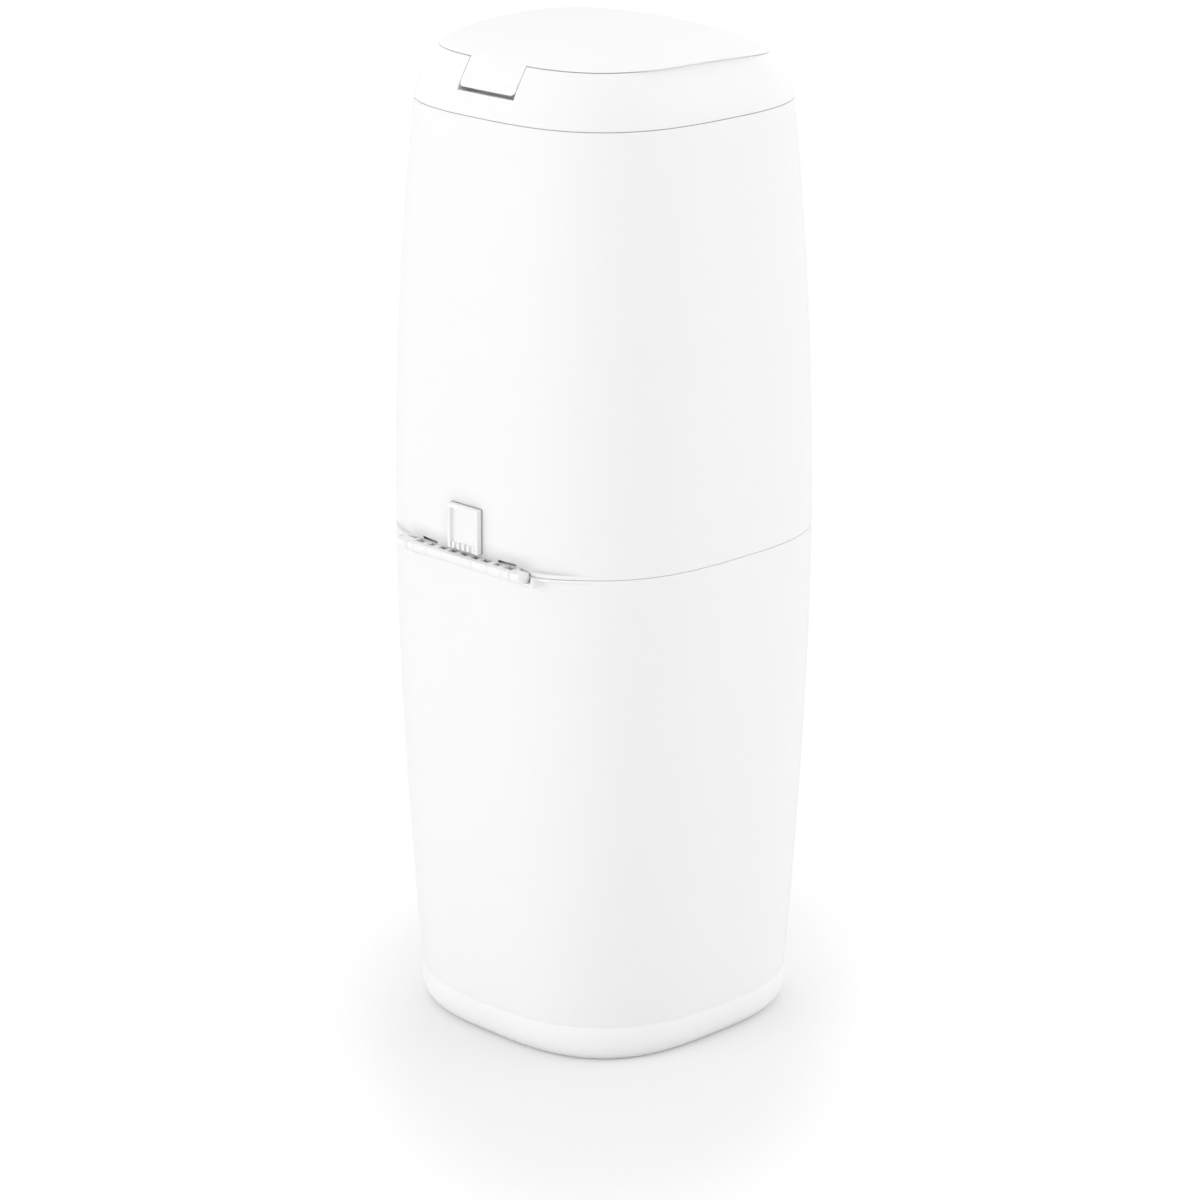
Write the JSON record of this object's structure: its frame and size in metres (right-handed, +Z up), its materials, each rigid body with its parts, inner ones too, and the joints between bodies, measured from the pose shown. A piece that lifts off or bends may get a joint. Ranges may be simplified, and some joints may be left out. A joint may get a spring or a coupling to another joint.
{
  "type": "nappy bin",
  "caption": "Tall nappy bin: hinged upper half on a bucket, domed flip lid, refill cassette, sprung sliding jaws and a front release button.",
  "frame": {"origin": "on the floor, under the middle of the body; the rear hinge stands 8 mm proud and the front button 2 mm, so the box's middle lies 3 mm to the rear", "axes": "+Z up; +Y to the rear, where the hinges are; the release button faces -Y"},
  "size_m": [0.2228, 0.2327, 0.6064],
  "materials": {
    "shell_white": "satin",
    "inner_grey": "satin",
    "button_grey": "satin",
    "cassette_blue": "gloss",
    "film": "satin",
    "soft_rubber": "matte",
    "pad_rubber": "matte",
    "pin_steel": "satin",
    "spring_steel": "satin",
    "blade_steel": "polished"
  },
  "bodies": {
    "bucket": {"lower_shell": "shell_white", "base_band": "shell_white", "base_pad_front_left": "pad_rubber", "base_pad_front_right": "pad_rubber", "base_pad_rear_left": "pad_rubber", "base_pad_rear_right": "pad_rubber", "body_hinge_pin": "pin_steel", "catch_plate": "inner_grey"},
    "upper": {"upper_shell": "shell_white", "collar": "shell_white", "hinge_barrel": "shell_white", "stop_frame": "shell_white", "lid_hinge_pin": "pin_steel", "cassette_tray": "inner_grey", "cassette_body": "cassette_blue", "cassette_cover": "cassette_blue", "film_pack": "film", "jaw_housing": "inner_grey", "housing_screw_front_left": "pin_steel", "housing_screw_front_right": "pin_steel", "housing_screw_rear_left": "pin_steel", "housing_screw_rear_right": "pin_steel", "cutter_housing": "inner_grey", "cutter_blade": "blade_steel", "latch_bracket": "inner_grey", "latch_pin": "pin_steel", "jaw_spring_left_front": "spring_steel", "jaw_spring_left_rear": "spring_steel", "jaw_spring_right_front": "spring_steel", "jaw_spring_right_rear": "spring_steel", "button_spring_left": "spring_steel", "button_spring_right": "spring_steel"},
    "lid": {"lid_cover": "shell_white", "lid_liner": "inner_grey", "lid_seal": "soft_rubber"},
    "jaw_left": {"jaw_left": "inner_grey", "jaw_lip_left": "soft_rubber"},
    "jaw_right": {"jaw_right": "inner_grey", "jaw_lip_right": "soft_rubber"},
    "button": {"release_button": "button_grey"},
    "latch": {"latch_hook": "inner_grey"}
  },
  "joints": [
    {"name": "body_tilt", "type": "hinge", "parent": "bucket", "child": "upper", "pos_m": [0, 0.11521, 0.3045], "axis": [-1, 0, 0], "range_deg": [0, 95]},
    {"name": "lid_hinge", "type": "hinge", "parent": "upper", "child": "lid", "pos_m": [0, 0.0872, 0.578], "axis": [-1, 0, 0], "range_deg": [0, 100]},
    {"name": "jaw_left_slide", "type": "slide", "parent": "upper", "child": "jaw_left", "axis": [-1, 0, 0], "range_m": [0, 0.038], "stiffness_N_per_m": 60, "springref_m": -0.012, "deforming": ["jaw_spring_left_front", "jaw_spring_left_rear"]},
    {"name": "jaw_right_slide", "type": "slide", "parent": "upper", "child": "jaw_right", "axis": [1, 0, 0], "range_m": [0, 0.038], "stiffness_N_per_m": 60, "springref_m": -0.012, "deforming": ["jaw_spring_right_front", "jaw_spring_right_rear"]},
    {"name": "button_press", "type": "slide", "parent": "upper", "child": "button", "axis": [0, 1, 0], "range_m": [0, 0.0035], "stiffness_N_per_m": 500, "springref_m": -0.002, "deforming": ["button_spring_left", "button_spring_right"]},
    {"name": "latch_turn", "type": "hinge", "parent": "upper", "child": "latch", "pos_m": [0, -0.09583, 0.346], "axis": [1, 0, 0], "range_deg": [0, 13.8]}
  ],
  "couplings": [
    {"joint": "latch_turn", "follows": "button_press", "rad_per_m": 68}
  ]
}
